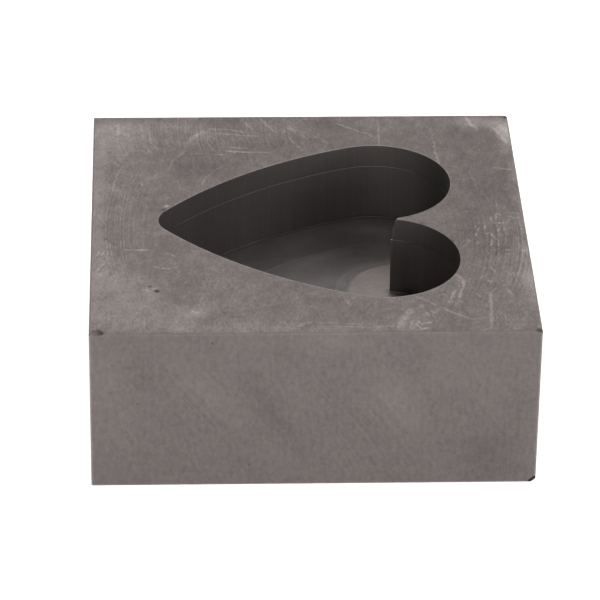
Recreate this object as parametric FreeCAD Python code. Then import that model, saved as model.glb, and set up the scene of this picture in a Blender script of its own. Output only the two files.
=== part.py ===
import FreeCAD, Part
import math
import os

# Ingot mould: one rectangular block of machined graphite with a heart-shaped
# pocket milled into its top face. Millimetres, +Z up, resting on z = 0 with
# the block's middle over the origin. The heart points to -X, its lobes to +X.

# Block
block_length = 100.0        # along X
block_width = 100.0         # along Y
block_height = 40.0
arris = 0.4                 # radius rubbed onto the twelve outer edges

# Heart outline, a chain of tangent arcs mirrored in the block's middle plane
tip_margin = 15.5           # block's -X face to the heart's tip
heart_length = 68.4         # tip to the far side of the lobes
nose_radius = 6.3           # left by the end mill in the tip
flank_radius = 100.0        # long side of the heart
shoulder_radius = 25.4      # between the flank and the lobe
lobe_radius = 17.5
lobe_lap = 0.1              # each lobe's circle crosses the middle plane by this
lobe_turn_deg = 103.0       # direction, at the lobe's centre, of its joint with the shoulder

# Pocket
pocket_depth = 19.5
pass_depth = 5.6            # depth of the first pass round the wall
pass_step = 0.05            # the first pass stands this far outside the later ones
finish_band = 12.4          # width of the floor pass that follows the wall
floor_rise = 0.04           # the floor inside that band stands this much higher

# Cusp, the thin wedge between the lobes, which has lost its sharp edge
cusp_edge = 0.3             # thickness at which the wedge ends
cusp_chip_edge = 0.65       # thickness at which it ends near the rim, where more is broken away
cusp_chip_depth = 4.3       # how far down that break reaches
cusp_tip_edge = 0.9         # thickness at which it ends at the rim itself, whose tip is knocked off
cusp_tip_depth = 0.45       # how far down that knock reaches

# Chips at the block's corners, each a shallow scoop
chip_large = 1.3
chip_small = 0.8
chip_centre_share = 0.9     # the scoop's centre lies this share of its reach outside each face

# Chip on the front top edge, the cut of a ball that hangs above it
edge_chip_inset = 2.2       # from the block's -X face
edge_chip_radius = 1.9
edge_chip_height = 1.2      # the ball's centre above the top face

# All cutting tools run past the faces that they cut by this much
overrun = 2.0

tip_x = tip_margin - block_length / 2
lobe_x = tip_x + heart_length - lobe_radius
lobe_y = lobe_radius - lobe_lap
floor_z = block_height - pocket_depth


def along(centre, distance, angle):
    """Point at a distance from a centre in the direction of an angle."""
    return (centre[0] + distance * math.cos(angle), centre[1] + distance * math.sin(angle))


def direction(start, end):
    """Angle of the line from one point to another."""
    return math.atan2(end[1] - start[1], end[0] - start[0])


def heart_centres():
    """Centres of the four arcs of the heart's upper half, and the angles where they join."""
    lobe = (lobe_x, lobe_y)
    nose = (tip_x + nose_radius, 0)
    lobe_joint = math.radians(lobe_turn_deg)
    shoulder = along(lobe, lobe_radius - shoulder_radius, lobe_joint)
    # The flank's circle touches the nose's and the shoulder's circle from outside,
    # so its centre closes a triangle on theirs.
    span = math.dist(nose, shoulder)
    to_nose = flank_radius - nose_radius
    to_shoulder = flank_radius - shoulder_radius
    corner = math.acos((to_nose ** 2 + span ** 2 - to_shoulder ** 2) / (2 * to_nose * span))
    flank = along(nose, to_nose, direction(nose, shoulder) - corner)
    return {
        "nose": nose, "flank": flank, "shoulder": shoulder, "lobe": lobe,
        "nose_joint": direction(flank, nose),
        "flank_joint": direction(flank, shoulder),
        "lobe_joint": lobe_joint,
    }


def wedge_x(thickness, grow):
    """Where the wedge between the lobes has a thickness, for an outline grown outwards."""
    return lobe_x + math.sqrt((lobe_radius + grow) ** 2 - (lobe_y - thickness / 2) ** 2)


def arc(centre, radius, start, end):
    """Edge along a circle, from one angle to another."""
    stations = (start, (start + end) / 2, end)
    points = [FreeCAD.Vector(*along(centre, radius, angle), 0) for angle in stations]
    return Part.Arc(*points).toShape()


def outline(grow):
    """Face of the heart seen from above, grown outwards, with its wedge cut square."""
    heart = heart_centres()
    corner = (wedge_x(cusp_edge, grow), cusp_edge / 2)
    half = [
        arc(heart["nose"], nose_radius + grow, math.pi, heart["nose_joint"]),
        arc(heart["flank"], flank_radius + grow, heart["nose_joint"], heart["flank_joint"]),
        arc(heart["shoulder"], shoulder_radius + grow, heart["flank_joint"], heart["lobe_joint"]),
        arc(heart["lobe"], lobe_radius + grow, heart["lobe_joint"], direction(heart["lobe"], corner)),
    ]
    other = [edge.mirror(FreeCAD.Vector(0, 0, 0), FreeCAD.Vector(0, 1, 0)) for edge in half]
    ends = [FreeCAD.Vector(corner[0], side * corner[1], 0) for side in (1, -1)]
    return Part.Face(Part.Wire(Part.__sortEdges__(half + [Part.makeLine(*ends)] + other)))


def prism(face, bottom, top):
    """Upright solid over a face, between two heights."""
    return face.extrude(FreeCAD.Vector(0, 0, top - bottom)).translated(FreeCAD.Vector(0, 0, bottom))


def blank():
    """The sawn and faced block with rubbed edges."""
    corner = FreeCAD.Vector(-block_length / 2, -block_width / 2, 0)
    box = Part.makeBox(block_length, block_width, block_height, corner)
    return box.makeFillet(arris, box.Edges)


def pocket():
    """Everything the end mill takes out: both passes of the wall and the stepped floor."""
    top = block_height + overrun
    lower = prism(outline(0), floor_z, top)
    upper = prism(outline(pass_step), block_height - pass_depth, top)
    inner = outline(0).makeOffset2D(-finish_band)
    raised = prism(inner, floor_z - overrun, floor_z + floor_rise)
    return lower.cut(raised).fuse(upper)


def cusp_break():
    """The wedge's broken corner at the rim: a slope up from its edge, then a flatter one above it."""
    edge_x = wedge_x(cusp_edge, 0)
    slope_x = wedge_x(cusp_chip_edge, pass_step)
    end_x = wedge_x(cusp_tip_edge, pass_step)
    back_x = edge_x - overrun
    high = block_height + overrun
    low = block_height - cusp_chip_depth
    tip_low = block_height - cusp_tip_depth
    slopes = ((edge_x, low), (slope_x, tip_low), (end_x, block_height))
    places = slopes + ((end_x, high), (back_x, high), (back_x, low))
    points = [FreeCAD.Vector(x, -cusp_tip_edge, z) for x, z in places]
    face = Part.Face(Part.makePolygon(points + points[:1]))
    return face.extrude(FreeCAD.Vector(0, 2 * cusp_tip_edge, 0))


def chips():
    """Scoops where the block has been knocked, largest at the front right foot."""
    corners = (
        (1, -1, 0, chip_large),
        (1, 1, 1, chip_small),
        (1, -1, 1, chip_small),
    )
    on_edge = FreeCAD.Vector(
        edge_chip_inset - block_length / 2, -block_width / 2, block_height + edge_chip_height)
    scoops = [Part.makeSphere(edge_chip_radius, on_edge)]
    for side_x, side_y, at_top, reach in corners:
        offset = reach * chip_centre_share
        radius = math.hypot(reach + offset, offset, offset)
        centre = FreeCAD.Vector(
            side_x * (block_length / 2 + offset),
            side_y * (block_width / 2 + offset),
            block_height + offset if at_top else -offset,
        )
        scoops.append(Part.makeSphere(radius, centre))
    return scoops


def mould_block():
    """The finished mould, in one piece."""
    return blank().cut([pocket(), cusp_break()] + chips())


def main():
    os.makedirs("parts", exist_ok=True)
    mould = mould_block()
    mould.exportStep("parts/mould_block.step")
    print("mould_block valid", mould.isValid(), "solids", len(mould.Solids), "faces", len(mould.Faces))
    print("volume in mm3", round(mould.Volume), "box", mould.optimalBoundingBox())


main()
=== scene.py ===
import math

import bmesh
import bpy
import numpy as np
from mathutils import Matrix, Vector


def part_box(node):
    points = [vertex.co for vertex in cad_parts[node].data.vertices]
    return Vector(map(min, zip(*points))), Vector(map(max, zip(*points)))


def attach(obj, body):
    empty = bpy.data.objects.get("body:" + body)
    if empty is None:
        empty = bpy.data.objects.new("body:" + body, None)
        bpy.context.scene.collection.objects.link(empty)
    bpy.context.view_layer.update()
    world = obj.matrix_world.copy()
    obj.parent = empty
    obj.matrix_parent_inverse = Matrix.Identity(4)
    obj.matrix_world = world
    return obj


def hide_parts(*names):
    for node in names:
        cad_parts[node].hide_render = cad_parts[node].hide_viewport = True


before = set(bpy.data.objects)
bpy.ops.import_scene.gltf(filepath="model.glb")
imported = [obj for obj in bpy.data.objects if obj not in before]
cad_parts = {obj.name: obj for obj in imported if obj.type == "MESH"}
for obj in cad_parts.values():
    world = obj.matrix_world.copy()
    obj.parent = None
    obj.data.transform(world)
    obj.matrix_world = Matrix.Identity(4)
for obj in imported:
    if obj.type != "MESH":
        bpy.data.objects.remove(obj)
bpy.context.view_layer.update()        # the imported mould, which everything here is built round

bl_info = {
    "name": "Heart Ingot Mould",
    "version": (1, 0, 0),
    "blender": (4, 5, 0),
    "location": "3D View > Sidebar > Mould",
    "description": "Dresses a machined graphite ingot mould with a heart-shaped pocket",
    "category": "Object",
}

NODE = "mould_block"
MM = 0.001
FAR = 1e6                     # a reach, in millimetres, past which nothing lies

LOW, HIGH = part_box(NODE)
LENGTH, WIDTH, HEIGHT = HIGH - LOW
TOP = HIGH.z

# How each face of the block was finished, in the order of its materials
FINISHES = ("faced", "sawn", "milled_wall", "milled_floor")
FACED, SAWN, MILLED_WALL, MILLED_FLOOR = range(len(FINISHES))


def size(name, description, default):
    """A length in metres, as the sidebar shows it."""
    return bpy.props.FloatProperty(
        name=name, description=description, default=default, min=0.0, unit="LENGTH", precision=5)


def share(name, description, default):
    """A number from nothing to all."""
    return bpy.props.FloatProperty(
        name=name, description=description, default=default, min=0.0, max=1.0, subtype="FACTOR")


def tilt(name, description, degrees):
    """An angle given in degrees."""
    return bpy.props.FloatProperty(
        name=name, description=description, default=math.radians(degrees), subtype="ANGLE")


def number(name, description, default):
    """A plain number."""
    return bpy.props.FloatProperty(name=name, description=description, default=default)


def colour(name, description, hex_colour):
    """A colour given as sRGB hex."""
    return bpy.props.FloatVectorProperty(
        name=name, description=description, default=linear(hex_colour), size=4, min=0.0, max=1.0,
        subtype="COLOR")


def linear(hex_colour):
    """Linear RGBA of an sRGB hex colour."""
    channels = [int(hex_colour[i:i + 2], 16) / 255 for i in (1, 3, 5)]
    return tuple(c / 12.92 if c <= 0.04045 else ((c + 0.055) / 1.055) ** 2.4 for c in channels) + (1.0,)


class MouldShape(bpy.types.PropertyGroup):
    """Sizes of the block's edges and of the pocket."""

    arris: size("Arris", "Radius rubbed onto the block's outer edges", 0.4 * MM)
    tip_margin: size("Tip margin", "From the block's side to the heart's tip", 15.5 * MM)
    heart_length: size("Heart length", "From the tip to the far side of the lobes", 68.4 * MM)
    nose_radius: size("Nose radius", "Left by the end mill in the tip", 6.3 * MM)
    flank_radius: size("Flank radius", "Long sides of the heart", 100 * MM)
    shoulder_radius: size("Shoulder radius", "Between flank and lobe", 25.4 * MM)
    lobe_radius: size("Lobe radius", "The two round ends", 17.5 * MM)
    lobe_lap: size("Lobe lap", "How far each lobe's circle crosses the middle", 0.1 * MM)
    lobe_turn: tilt("Lobe turn", "Direction, at the lobe's centre, of its joint with the shoulder", 103)
    pocket_depth: size("Pocket depth", "From the top face to the floor", 19.5 * MM)
    pass_depth: size("Pass depth", "Depth of the first pass round the wall", 5.6 * MM)
    pass_step: size("Pass step", "The first pass stands this far outside the later ones", 0.05 * MM)
    rim_round: size("Rim round", "Radius worn onto the pocket's rim", 0.05 * MM)
    foot_round: size("Foot round", "Radius between the wall and the floor", 0.12 * MM)
    finish_band: size("Finish band", "Width of the floor pass that follows the wall", 12.4 * MM)
    floor_rise: size("Floor rise", "The floor inside that band stands this much higher", 0.04 * MM)
    cusp_edge: size("Cusp edge", "Thickness at which the wedge between the lobes ends", 0.3 * MM)
    cusp_chip_edge: size("Broken cusp edge", "Thickness at which it ends near the rim", 0.65 * MM)
    cusp_chip_depth: size("Cusp break", "How far down that break slopes", 4.3 * MM)
    cusp_tip_edge: size("Cusp tip", "Thickness at which it ends at the rim itself", 0.9 * MM)
    cusp_tip_depth: size("Cusp tip's knock", "How far down the knocked tip slopes", 0.45 * MM)
    spacing: size("Mesh spacing", "Between the columns of the mesh, along the heart", 0.34 * MM)


class MouldWear(bpy.types.PropertyGroup):
    """Knocks and rubbing along the block's edges."""

    arris_reach: size("Arris reach", "How far wear spreads from the outer edges", 1.2 * MM)
    rub_depth: size("Rub depth", "Unevenness of the outer edges", 0.05 * MM)
    rub_length: size("Rub length", "Length of one wave of that unevenness", 2.6 * MM)
    nick_gap: size("Nick gap", "Mean distance between nicks on the outer edges", 30 * MM)
    nick_size: size("Nick size", "Largest radius of a nick's scoop", 0.8 * MM)
    nick_depth: size("Nick depth", "Largest depth of a nick", 0.12 * MM)
    rim_gap: size("Rim nick gap", "Mean distance between crumbled spots on the pocket's rim", 6 * MM)
    rim_size: size("Rim nick size", "Largest radius of such a spot", 0.5 * MM)
    rim_depth: size("Rim nick depth", "Largest depth of such a spot", 0.12 * MM)
    seed: bpy.props.IntProperty(name="Seed", description="Picks where the nicks fall", default=11)


class MouldFinish(bpy.types.PropertyGroup):
    """Tones of the graphite, from a broken pit to chalky scuffed dust."""

    pit: colour("Pit", "Bottom of a pore or a broken corner", "#1f1b1a")
    dark: colour("Dark", "Graphite between the tool marks", "#625957")
    plain: colour("Plain", "Machined graphite", "#79706d")
    light: colour("Light", "Burnished or rubbed graphite", "#9a918e")
    chalk: colour("Chalk", "Dust in a scratch or scuff", "#cdc6c3")
    roughness: share("Roughness", "Of a machined face", 0.45)
    side_tint: share("Side tint", "How much of the brown tint the sawn sides keep", 0.8)
    pocket_tint: share("Pocket tint", "How much of the brown tint the milled pocket keeps", 0.55)
    metallic: share("Metallic", "Graphite mirrors its surroundings as a dark metal does", 0.9)


class MouldStudio(bpy.types.PropertyGroup):
    """Camera and light."""

    camera_place: bpy.props.FloatVectorProperty(
        name="Camera", description="Where the camera stands", default=(-0.0337, -0.7725, 0.4852),
        unit="LENGTH")
    azimuth: tilt("Azimuth", "Turn of the view to the right of +Y", 2.377)
    elevation: tilt("Elevation", "How steeply the camera looks down", 31.13)
    roll: tilt("Roll", "Tilt of the camera about its view", 0.807)
    lens: number("Lens", "Focal length in mm", 232.0)
    back_light: number("Back light", "Power in watts", 3.5)
    front_light: number("Front light", "Power in watts", 0.3)
    high_light: number("High light", "Power in watts", 1.6)
    sky: number("Sky", "Strength of the even light", 0.62)
    left_shade: share("Left shade", "Share of the even light that comes from the dim left of the room", 0.3)
    floor: colour("Floor", "White paper under the block", "#f4f4f4")
    floor_glow: number("Floor glow", "Light that the lit paper gives off by itself", 0.8)


# The heart, a chain of tangent arcs


def direction(start, end):
    """Angle of the line from one point to another."""
    return math.atan2(end[1] - start[1], end[0] - start[0])


def along(centre, distance, angle):
    """Point at a distance from a centre in the direction of an angle."""
    return (centre[0] + distance * math.cos(angle), centre[1] + distance * math.sin(angle))


def lobe_centre(s):
    """Centre of the lobe on the +Y side."""
    return (LOW.x + s.tip_margin + s.heart_length - s.lobe_radius, s.lobe_radius - s.lobe_lap)


def wedge_end(s, thickness, grow):
    """Where the wedge between the lobes has a thickness, for an outline grown outwards."""
    lobe = lobe_centre(s)
    return lobe[0] + math.sqrt((s.lobe_radius + grow) ** 2 - (lobe[1] - thickness / 2) ** 2)


def wedge_thickness(s, grow, z):
    """Thickness of the wedge's end at a height: more where its corner has broken away in two slopes."""
    lobe = lobe_centre(s)
    depths = (0, s.cusp_tip_depth, s.cusp_chip_depth)
    ends = (
        wedge_end(s, s.cusp_tip_edge, s.pass_step),
        wedge_end(s, s.cusp_chip_edge, s.pass_step),
        wedge_end(s, s.cusp_edge, 0),
    )
    end_x = max(np.interp(TOP - z, depths, ends), wedge_end(s, s.cusp_edge, grow))
    return 2 * (lobe[1] - math.sqrt((s.lobe_radius + grow) ** 2 - (end_x - lobe[0]) ** 2))


def heart_arcs(s, grow, thickness):
    """Arcs of the heart's +Y half, from the cusp to the tip: centre, radius, start and end angle.

    A point lies at its arc's radius in the direction of its angle, and that direction leads out of the
    pocket. The wedge between the lobes is solid, so the radius of its rounded edge is negative.
    """
    lobe = lobe_centre(s)
    nose = (LOW.x + s.tip_margin + s.nose_radius, 0.0)
    shoulder = along(lobe, s.lobe_radius - s.shoulder_radius, s.lobe_turn)
    span = math.dist(nose, shoulder)
    to_nose = s.flank_radius - s.nose_radius
    to_shoulder = s.flank_radius - s.shoulder_radius
    corner = math.acos((to_nose ** 2 + span ** 2 - to_shoulder ** 2) / (2 * to_nose * span))
    flank = along(nose, to_nose, direction(nose, shoulder) - corner)
    lobe_end = direction(lobe, (wedge_end(s, thickness, grow), thickness / 2))
    round_share = 0.4         # of the wedge's thickness: the radius at each side of its end
    edge_round = round_share * thickness
    edge = along(lobe, s.lobe_radius + grow + edge_round, lobe_end)
    return (
        (edge, -edge_round, 0.0, lobe_end),
        (lobe, s.lobe_radius + grow, lobe_end, s.lobe_turn),
        (shoulder, s.shoulder_radius + grow, s.lobe_turn, direction(flank, shoulder)),
        (flank, s.flank_radius + grow, direction(flank, shoulder), direction(flank, nose)),
        (nose, s.nose_radius + grow, direction(flank, nose), math.pi),
    )


def mirrored(half, flip):
    """A whole ring from its +Y half, which ends at the tip."""
    return np.concatenate((half, half[-2::-1] * flip))


def heart_ring(s, stations, grow, z):
    """Points of the heart at a height, and at each the direction out of the pocket."""
    arcs = heart_arcs(s, grow, wedge_thickness(s, grow, z))
    centre, radius, start, end = (np.array(values) for values in zip(*arcs))
    arc = np.minimum(stations.astype(int), len(arcs) - 1)
    angle = start[arc] + (stations - arc) * (end - start)[arc]
    out = np.column_stack((np.cos(angle), np.sin(angle)))
    points = centre[arc] + radius[arc, None] * out
    return mirrored(points, (1, -1)), mirrored(out, (1, -1))


class Columns:
    """Where the columns of the mesh run: one set of stations for every ring of the block.

    A station is the number of an arc of the heart plus the share of its length. Columns are closer at the
    cusp and where they meet the block's corners, and many share the cusp's edge, because they fan out over
    the floor.
    """

    fan = 24                  # columns round the cusp's edge, in one half
    corner = 6                # spaces between columns round a corner of the block
    fine_share = 0.35         # of the spacing, at the close places
    fine_reach = 3 * MM
    samples = 4000            # steps along the outline in which the columns are counted

    def __init__(self, s):
        arcs = heart_arcs(s, 0, s.cusp_edge)
        lengths = np.array([abs(radius * (end - start)) for _, radius, start, end in arcs[1:]])
        joints = np.concatenate(([0], np.cumsum(lengths)))
        walk = self.block_walk(s)
        corners = walk[1:3] / walk[-1] * joints[-1]
        places = np.linspace(0, joints[-1], self.samples)
        close = np.max([np.exp(-((places - c) / self.fine_reach) ** 2) for c in (0, *corners)], axis=0)
        density = 1 / (s.spacing * (1 - (1 - self.fine_share) * close))
        count = np.concatenate(([0], np.cumsum(density[1:] * np.diff(places))))
        side = np.interp(np.linspace(0, count[-1], round(count[-1]) + 1), count, places)
        arc = np.clip(np.searchsorted(joints, side, side="right") - 1, 0, len(lengths) - 1)
        self.stations = np.concatenate((
            np.arange(self.fan) / self.fan,
            1 + arc + (side - joints[arc]) / lengths[arc]))
        shares = np.concatenate((np.zeros(self.fan), side)) / joints[-1]
        self.outside(s, shares, walk)

    def block_walk(self, s):
        """Distances along half of the square inside the arrises, at its start, corners and end."""
        half_length = LENGTH / 2 - s.arris
        half_width = WIDTH / 2 - s.arris
        return np.cumsum((0, half_width, 2 * half_length, half_width))

    def outside(self, s, shares, walk):
        """At each column the point of that square, and the direction out of the block."""
        half_length = LENGTH / 2 - s.arris
        half_width = WIDTH / 2 - s.arris
        first, second = (int(np.abs(shares - c).argmin()) for c in walk[1:3] / walk[-1])
        reach = self.corner // 2
        knots = np.array((0, first - reach, first + reach, second - reach, second + reach, len(shares) - 1))
        distance = np.interp(shares, shares[knots], walk[[0, 1, 1, 2, 2, 3]])
        angle = np.radians(np.interp(np.arange(len(shares)), knots, (0, 0, 90, 90, 180, 180)))
        x = np.interp(distance, walk, (half_length, half_length, -half_length, -half_length))
        y = np.interp(distance, walk, (0, half_width, half_width, 0))
        self.square = mirrored(np.column_stack((x, y)), (1, -1))
        self.out = mirrored(np.column_stack((np.cos(angle), np.sin(angle))), (1, -1))


# The block's mesh, a stack of rings


# Where rings lie, closer where a face bends or wears: shares of the underside, then millimetres up and
# down from the arrises, over the top from its edge and back from the rim, down the wall, over the floor
UNDERSIDE_SHARES = (0.0, 0.5, 0.9, 0.98, 0.995)
SIDE_STEPS_MM = (0.15, 0.3, 0.5, 0.8, 1.1, 1.5, 2.1, 3.0, 4.3, 7.0, 11.5)
EDGE_STEPS_MM = (0.15, 0.3, 0.5, 0.8, 1.1, 1.5, 2.0, 2.6)
RIM_STEPS_MM = (1.6, 0.9, 0.5, 0.25, 0.1)
TOP_SPACES = 7                # between the last ring near the edge and the first near the rim
FIRST_PASS_DEPTHS_MM = (0.2, 0.45, 0.8, 1.3, 2.0, 3.0, 4.3, 5.0)
LATER_PASS_DEPTHS_MM = (5.9, 6.6, 8.0, 10.0, 12.5, 15.0, 17.0, 18.5, 19.0)
FLOOR_STEPS_MM = (0.6, 1.4, 3, 5, 7, 9, 10.8, 11.8)
QUARTER = np.radians(np.linspace(0, 90, 5))        # rings round a quarter turn
# Lengths in metres that count as none
TINY = 1e-9
ONE_PLACE = 1e-6
NO_EDGE = 1e-7


class Rings:
    """Rings of points, from the middle of the underside round the outside and into the pocket."""

    def __init__(self):
        self.points = []
        self.finish = []
        self.rim = []
        self.inset = []
        self.knock = []

    def add(self, xy, z, finish, rim=1.0, inset=0.0):
        count = len(xy)
        self.points.append(np.column_stack((xy, np.broadcast_to(z, count))))
        self.finish.append(finish)
        self.rim.append(np.broadcast_to(rim, count))
        self.inset.append(np.broadcast_to(inset, count))

    def mesh(self, name):
        """One mesh with a quad between each ring and the next."""
        rings, columns = len(self.points), len(self.points[0])
        first = np.arange(columns)
        following = (first + 1) % columns
        faces = []
        for ring in range(rings - 1):
            low = ring * columns
            high = low + columns
            faces.append(np.column_stack((low + first, low + following, high + following, high + first)))
        mesh = bpy.data.meshes.new(name)
        mesh.from_pydata(np.concatenate(self.points).tolist(), [], np.concatenate(faces).tolist())
        for title, values in (("rim", self.rim), ("inset", self.inset), ("knock", self.knock)):
            mesh.attributes.new(title, "FLOAT", "POINT").data.foreach_set(
                "value", np.concatenate(values).astype(np.float32))
        mesh.attributes.new("finish", "INT", "FACE").data.foreach_set(
            "value", np.repeat(self.finish[1:], columns).astype(np.int32))
        return mesh


def block_rings(s, columns):
    """The whole surface of the mould, apart from the floor inside the finish band."""
    rings = Rings()
    square, out = columns.square, columns.out
    for part in UNDERSIDE_SHARES:
        rings.add(square * part, LOW.z, SAWN)
    for angle in QUARTER:
        rings.add(square + out * s.arris * math.sin(angle), LOW.z + s.arris * (1 - math.cos(angle)), SAWN)
    near = np.array(SIDE_STEPS_MM) * MM
    heights = np.concatenate((LOW.z + s.arris + near, TOP - s.arris - near[::-1]))
    for z in heights:
        rings.add(square + out * s.arris, z, SAWN)
    for angle in QUARTER:
        rings.add(square + out * s.arris * math.cos(angle), TOP - s.arris * (1 - math.sin(angle)), SAWN)
    top_face(s, columns, rings)
    pocket_wall(s, columns, rings)
    pocket_floor(s, columns, rings)
    return rings


def top_face(s, columns, rings):
    """The faced top, from inside the arris to the rim's round."""
    rim, _ = heart_ring(s, columns.stations, s.pass_step + s.rim_round, TOP)
    way = rim - columns.square
    distance = np.linalg.norm(way, axis=1)
    from_edge = np.array(EDGE_STEPS_MM) * MM
    from_rim = np.array(RIM_STEPS_MM) * MM
    shares = [d / distance for d in from_edge]
    first, last = shares[-1], 1 - from_rim[0] / distance
    shares += [first + (last - first) * part for part in np.linspace(0, 1, TOP_SPACES + 1)[1:-1]]
    shares += [1 - d / distance for d in from_rim]
    for part in shares:
        rings.add(columns.square + way * part[:, None], TOP, FACED, rim=(1 - part) * distance)


def pocket_wall(s, columns, rings):
    """The rim's round, the wall of both passes and the ledge between them."""
    ledge = s.pass_depth
    soft = s.pass_step / 5    # from each corner of the ledge to the rings that hold it sharp
    first_pass = (
        s.rim_round + soft, *(depth * MM for depth in FIRST_PASS_DEPTHS_MM), ledge - 3 * soft, ledge - soft)
    later_passes = (
        ledge + soft, ledge + 3 * soft, *(depth * MM for depth in LATER_PASS_DEPTHS_MM),
        s.pocket_depth - s.foot_round - soft)
    levels = [
        (s.pass_step + s.rim_round * (1 - math.cos(angle)), s.rim_round * (1 - math.sin(angle)))
        for angle in QUARTER[::-1]]
    levels += [(s.pass_step, depth) for depth in first_pass]
    levels += [(s.pass_step - soft, ledge), (soft, ledge)]
    levels += [(0.0, depth) for depth in later_passes]
    for grow, depth in levels:
        ring, _ = heart_ring(s, columns.stations, grow, TOP - depth)
        rings.add(ring, TOP - depth, MILLED_WALL, rim=depth)


def pocket_floor(s, columns, rings):
    """The round at the wall's foot and the band that the last pass left beside the wall."""
    floor_z = TOP - s.pocket_depth
    wall, out = heart_ring(s, columns.stations, 0, floor_z)
    # Beside the tip the two sides of the band meet in the middle plane
    across = np.abs(wall[:, 1]) / np.maximum(np.abs(out[:, 1]), TINY)
    falls = wall[:, 1] * out[:, 1] > 0
    straight = 1e-6           # a direction that leans less than this never reaches the middle plane
    meets = np.where(falls, across, np.inf)
    meets[np.abs(out[:, 1]) < straight] = np.inf
    meets[len(meets) // 2] = s.nose_radius
    for angle in QUARTER:
        inset = s.foot_round * (1 - math.cos(angle))
        z = floor_z + s.foot_round * (1 - math.sin(angle))
        rings.add(wall - out * inset, z, MILLED_FLOOR, rim=TOP - z, inset=inset)
    lip = 0.1 * MM            # width of the slope between the band and the higher floor inside it
    band = s.finish_band
    insets = (
        s.foot_round + lip / 10, *(step * MM for step in FLOOR_STEPS_MM),
        band - 1.1 * lip, band - lip, band, band + lip / 10, band + 5 * lip)
    for inset in insets:
        reached = np.minimum(inset, meets)
        ramp = np.clip((reached - band + lip) / lip, 0, 1)
        rings.add(wall - out * reached[:, None], floor_z + s.floor_rise * ramp, MILLED_FLOOR,
                  rim=s.pocket_depth, inset=reached)


# Knocks that the photograph shows. Corners: side along X, side along Y, at the top or not, reach in
# millimetres
CORNER_KNOCKS = ((1, -1, False, 1.2), (1, 1, True, 0.8), (1, -1, True, 0.7))
# Spots on edges in millimetres from the block's middle and from its underside: place, ball's radius
EDGE_KNOCKS = (
    ((-48.3, -49.2, 41.3), 1.8),
    ((-47.4, -49.7, 40.3), 0.7),
    ((49.2, -49.6, 40.5), 0.9),
    ((48.8, -50.4, 0.3), 0.75),
    ((49.3, -50.4, 0.7), 0.75),
    ((49.8, -50.4, 1.1), 0.75),
    ((49.4, 50.3, 40.4), 0.75),
    ((-30.6, -50.6, 40.5), 0.86),
    ((12.4, -50.6, 40.6), 0.9),
)


def placed_knocks():
    """Centre and radius of the ball that cuts each knock."""
    knocks = []
    centre_share = 0.9        # of a corner knock's reach: how far outside the block its ball's centre is
    for side_x, side_y, at_top, reach in CORNER_KNOCKS:
        offset = reach * MM * centre_share
        z = TOP + offset if at_top else LOW.z - offset
        centre = (side_x * (LENGTH / 2 + offset), side_y * (WIDTH / 2 + offset), z)
        knocks.append((centre, math.hypot(reach * MM + offset, offset, offset)))
    for (x, y, z), radius in EDGE_KNOCKS:
        knocks.append(((x * MM, y * MM, LOW.z + z * MM), radius * MM))
    return knocks


def scooped(points, knocks):
    """Points inside a ball move out to its surface; each point's move is returned too, for its colour."""
    moved = np.zeros(len(points))
    for centre, radius in knocks:
        way = points - centre
        distance = np.linalg.norm(way, axis=1)
        lack = np.maximum(radius - distance, 0)
        points = points + way / np.maximum(distance, TINY)[:, None] * lack[:, None]
        moved = np.maximum(moved, lack)
    return points, moved


def block_mesh(s):
    """The mould as a closed mesh with its placed knocks, before wear."""
    rings = block_rings(s, Columns(s))
    knocks = placed_knocks()
    scoops = [scooped(points, knocks) for points in rings.points]
    rings.points = [points for points, _ in scoops]
    rings.knock = [moved for _, moved in scoops]
    mesh = rings.mesh("mould")
    shape = bmesh.new()
    shape.from_mesh(mesh)
    bmesh.ops.remove_doubles(shape, verts=shape.verts, dist=ONE_PLACE)
    bmesh.ops.dissolve_degenerate(shape, edges=shape.edges, dist=NO_EDGE)
    border = [edge for edge in shape.edges if edge.is_boundary]
    filled = bmesh.ops.triangle_fill(shape, edges=border, use_beauty=True)
    finish = shape.faces.layers.int["finish"]
    for face in filled["geom"]:
        if isinstance(face, bmesh.types.BMFace):
            face[finish] = MILLED_FLOOR
    bmesh.ops.recalc_face_normals(shape, faces=shape.faces)
    for face in shape.faces:
        face.smooth = True
    loose = [edge for edge in shape.edges if not edge.is_manifold]
    if loose:
        raise RuntimeError(f"the mould's mesh is open or crossed at {len(loose)} edges")
    shape.to_mesh(mesh)
    shape.free()
    return mesh


# Nodes


def add(tree, kind, inputs=None, **settings):
    """A node with its settings; each input is a value, a socket, or a node whose first output is meant."""
    node = tree.nodes.new(kind)
    for name, value in settings.items():
        setattr(node, name, value)
    for key, value in (inputs or {}).items():
        if isinstance(value, bpy.types.Node):
            value = value.outputs[0]
        if isinstance(value, bpy.types.NodeSocket):
            tree.links.new(value, node.inputs[key])
        else:
            node.inputs[key].default_value = value
    return node


def math_chain(tree, start, *steps):
    """Apply one operation after another to a value."""
    value = start
    for operation, *operands in steps:
        inputs = {0: value, **{i + 1: operand for i, operand in enumerate(operands)}}
        value = add(tree, "ShaderNodeMath", inputs, operation=operation)
    return value


# Wear, as Geometry Nodes


WEAR_SIZES = (
    "Arris reach", "Rub depth", "Rub length", "Nick gap", "Nick size", "Nick depth", "Rim gap", "Rim size",
    "Rim depth")


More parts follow.
